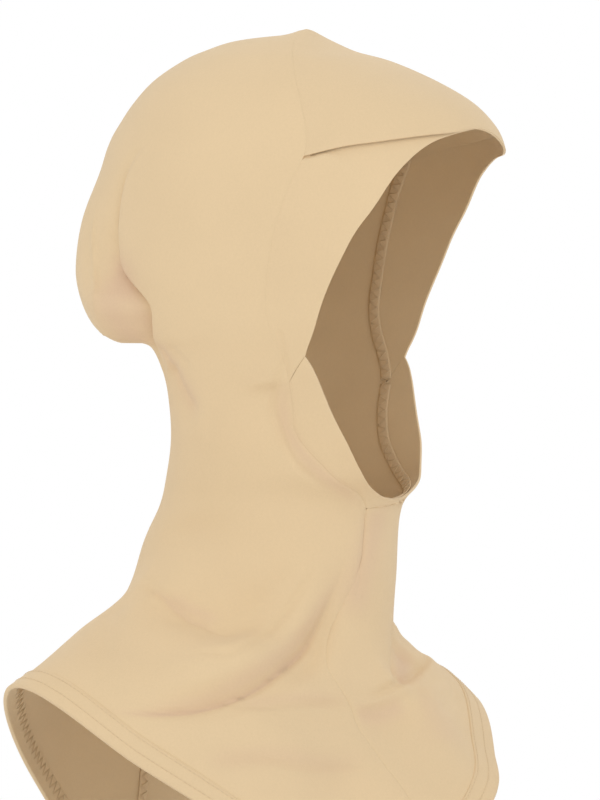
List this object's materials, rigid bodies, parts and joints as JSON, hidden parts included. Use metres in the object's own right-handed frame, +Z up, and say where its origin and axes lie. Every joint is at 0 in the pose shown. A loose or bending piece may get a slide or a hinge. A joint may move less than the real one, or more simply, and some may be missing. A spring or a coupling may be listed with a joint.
{
  "type": "hijab underscarf cap",
  "caption": "Full-cover jersey underscarf hood with a crossover forehead, a face opening, a neck and a hemmed bib over the shoulders, in its worn form.",
  "frame": {"origin": "under the crown, where the top of the head meets the inside of the cloth", "axes": "+Z up, the face opening looks along -Y, so the wearer's right is at -X; the bib is turned 25 degrees towards the wearer's right"},
  "size_m": [0.2536, 0.2223, 0.4277],
  "materials": {
    "jersey": "matt fine knit",
    "jersey_hem": "matt fine knit, twin-stitched"
  },
  "bodies": {
    "root": {"hood_right": "jersey", "hood_left": "jersey", "front_panel_left": "jersey", "front_panel_right": "jersey", "chin_band": "jersey", "hem_band": "jersey_hem"}
  },
  "joints": []
}
